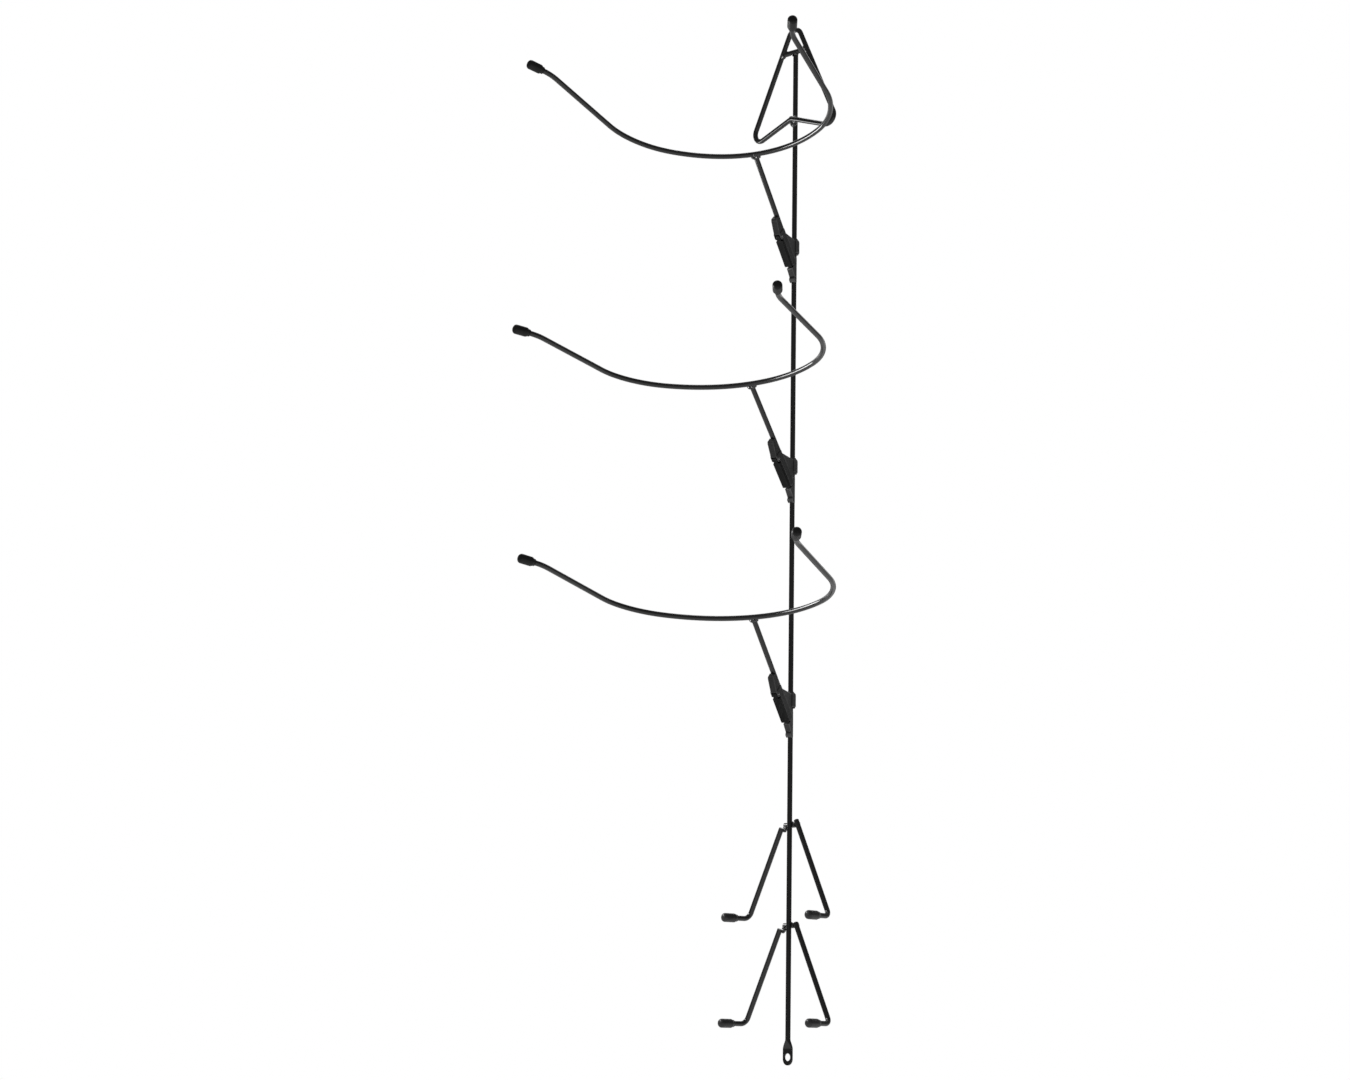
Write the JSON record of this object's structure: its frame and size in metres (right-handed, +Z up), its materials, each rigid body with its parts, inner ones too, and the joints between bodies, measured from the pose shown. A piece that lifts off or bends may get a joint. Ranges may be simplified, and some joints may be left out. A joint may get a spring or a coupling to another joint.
{
  "type": "guitar rack",
  "caption": "Wall-hung rack for instruments: a steel rod pole with a triangular hanger loop, height-adjustable U-shaped cradles on plastic lever clamps, and splayed pegs with rubber caps.",
  "frame": {"origin": "centre of the screw eye in the flattened foot of the pole", "axes": "+Z up along the pole, -Y to the front, away from the wall, +X to the right of a person facing the front"},
  "size_m": [0.3589, 0.3743, 1.2314],
  "materials": {
    "black_rod": "gloss",
    "clamp_plastic": "satin",
    "lever_plastic": "satin",
    "bush": "satin",
    "pin_steel": "satin",
    "tip_cap": "satin",
    "peg_cap": "satin"
  },
  "bodies": {
    "frame": {"pole": "black_rod", "hanger_wire": "black_rod", "hanger_crossbar": "black_rod", "upper_peg_cross_rod": "black_rod", "upper_peg_left_leg": "black_rod", "upper_peg_left_cap": "peg_cap", "upper_peg_right_leg": "black_rod", "upper_peg_right_cap": "peg_cap", "lower_peg_cross_rod": "black_rod", "lower_peg_left_leg": "black_rod", "lower_peg_left_cap": "peg_cap", "lower_peg_right_leg": "black_rod", "lower_peg_right_cap": "peg_cap"},
    "top_slider": {"top_pole_bush": "bush"},
    "top_arm": {"top_cradle": "black_rod", "top_strut": "black_rod", "top_left_tip_cap": "tip_cap", "top_right_tip_cap": "tip_cap", "top_clamp_inner_jaw": "clamp_plastic", "top_clamp_outer_jaw": "clamp_plastic", "top_lever_pin": "pin_steel"},
    "top_lever": {"top_clamp_lever": "lever_plastic"},
    "middle_slider": {"middle_pole_bush": "bush"},
    "middle_arm": {"middle_cradle": "black_rod", "middle_strut": "black_rod", "middle_left_tip_cap": "tip_cap", "middle_right_tip_cap": "tip_cap", "middle_clamp_inner_jaw": "clamp_plastic", "middle_clamp_outer_jaw": "clamp_plastic", "middle_lever_pin": "pin_steel"},
    "middle_lever": {"middle_clamp_lever": "lever_plastic"},
    "bottom_slider": {"bottom_pole_bush": "bush"},
    "bottom_arm": {"bottom_cradle": "black_rod", "bottom_strut": "black_rod", "bottom_left_tip_cap": "tip_cap", "bottom_right_tip_cap": "tip_cap", "bottom_clamp_inner_jaw": "clamp_plastic", "bottom_clamp_outer_jaw": "clamp_plastic", "bottom_lever_pin": "pin_steel"},
    "bottom_lever": {"bottom_clamp_lever": "lever_plastic"}
  },
  "joints": [
    {"name": "top_arm_height", "type": "slide", "parent": "frame", "child": "top_slider", "axis": [0, 0, 1], "range_m": [-0.06, 0.12]},
    {"name": "top_arm_swivel", "type": "hinge", "parent": "top_slider", "child": "top_arm", "pos_m": [0, 0, 0.9286], "axis": [0, 0, 1], "range_deg": [-59.2, 30.8]},
    {"name": "top_clamp_lever_swing", "type": "hinge", "parent": "top_arm", "child": "top_lever", "pos_m": [0.00937, -0.03705, 0.95384], "axis": [-0.9694, -0.2453, 0], "range_deg": [0, 90]},
    {"name": "middle_arm_height", "type": "slide", "parent": "frame", "child": "middle_slider", "axis": [0, 0, 1], "range_m": [-0.06, 0.06]},
    {"name": "middle_arm_swivel", "type": "hinge", "parent": "middle_slider", "child": "middle_arm", "pos_m": [0, 0, 0.6633], "axis": [0, 0, 1], "range_deg": [-57.8, 32.2]},
    {"name": "middle_clamp_lever_swing", "type": "hinge", "parent": "middle_arm", "child": "middle_lever", "pos_m": [0.00869, -0.03823, 0.68698], "axis": [-0.9751, -0.2215, 0], "range_deg": [0, 90]},
    {"name": "bottom_arm_height", "type": "slide", "parent": "frame", "child": "bottom_slider", "axis": [0, 0, 1], "range_m": [-0.08, 0.06]},
    {"name": "bottom_arm_swivel", "type": "hinge", "parent": "bottom_slider", "child": "bottom_arm", "pos_m": [0, 0, 0.387], "axis": [0, 0, 1], "range_deg": [-61.2, 28.8]},
    {"name": "bottom_clamp_lever_swing", "type": "hinge", "parent": "bottom_arm", "child": "bottom_lever", "pos_m": [0.01081, -0.03721, 0.41143], "axis": [-0.9603, -0.279, 0], "range_deg": [0, 90]}
  ]
}
